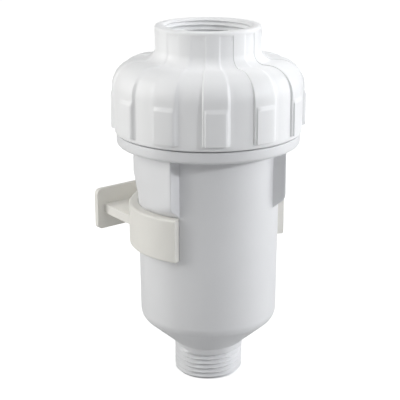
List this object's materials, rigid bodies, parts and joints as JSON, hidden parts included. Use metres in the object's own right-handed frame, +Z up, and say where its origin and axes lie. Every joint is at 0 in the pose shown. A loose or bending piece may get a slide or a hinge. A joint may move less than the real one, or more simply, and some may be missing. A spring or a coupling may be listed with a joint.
{
  "type": "condensate neutraliser",
  "caption": "Upright plastic condensate neutraliser with threaded outlet, ribbed screw cap with threaded inlet socket, charge of granulate between strainers, and spring wall clip.",
  "frame": {"origin": "centre of the outlet bore at the outlet's lower end", "axes": "+Z up along the housing's axis towards the inlet, +Y towards the wall plate, the clip opens towards -Y, +X completes the right-handed frame"},
  "size_m": [0.0918, 0.0954, 0.1722],
  "materials": {
    "housing": "satin injection-moulded polypropylene, white",
    "inlet_cap": "satin injection-moulded polypropylene, white",
    "cap_seal": "smooth rubber, black",
    "strainer": "plain moulded polypropylene, white",
    "granulate": "crushed marble or dolomite granules",
    "wall_clip": "satin moulded plastic, warm white"
  },
  "bodies": {
    "cartridge": {"housing": "housing", "upper_strainer": "strainer", "lower_strainer": "strainer", "granulate": "granulate"},
    "seal": {"cap_seal": "cap_seal"},
    "cap": {"inlet_cap": "inlet_cap"},
    "clip": {"wall_clip": "wall_clip"}
  },
  "joints": [
    {"name": "cap_lift", "type": "slide", "parent": "cartridge", "child": "seal", "axis": [0, 0, 1], "range_m": [0, 0.0152]},
    {"name": "cap_turn", "type": "hinge", "parent": "seal", "child": "cap", "pos_m": [0, 0, 0.1226], "axis": [0, 0, 1], "range_deg": [0, 900]},
    {"name": "clip_turn", "type": "hinge", "parent": "cartridge", "child": "clip", "pos_m": [0, 0, 0.0776], "axis": [0, 0, 1], "continuous": true}
  ],
  "couplings": [
    {"joint": "cap_lift", "follows": "cap_turn", "m_per_rad": 0.00095493}
  ]
}
